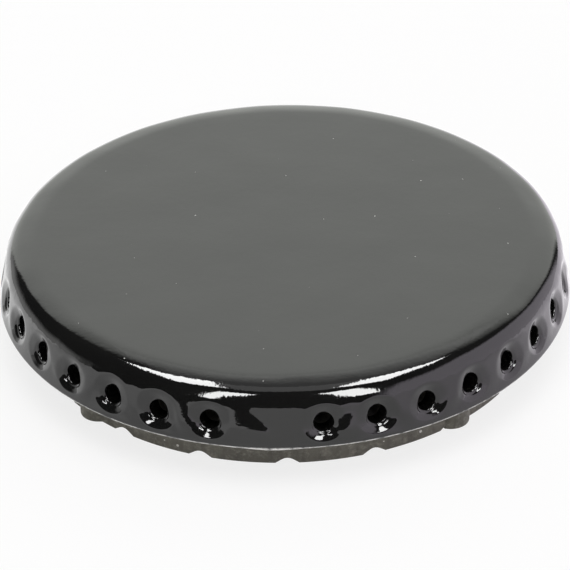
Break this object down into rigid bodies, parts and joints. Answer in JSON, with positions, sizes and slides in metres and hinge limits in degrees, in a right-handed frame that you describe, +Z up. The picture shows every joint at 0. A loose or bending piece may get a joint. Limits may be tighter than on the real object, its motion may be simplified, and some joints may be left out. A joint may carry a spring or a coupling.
{
  "type": "gas burner cap",
  "caption": "Round enamelled burner cap with a flat top, flame ports round its skirt and a bare notched ring below that centres it in a burner.",
  "frame": {"origin": "centre of the ring's lower edge, on the surface the cap stands on", "axes": "+Z up through the flat top, -Y through the middle of the wide gap in the row of ports"},
  "size_m": [0.0748, 0.0748, 0.0127],
  "materials": {
    "casting": "glossy black vitreous enamel on the top and skirt, bare dark grey iron on the ring below"
  },
  "bodies": {
    "root": {"burner_cap": "casting"}
  },
  "joints": []
}
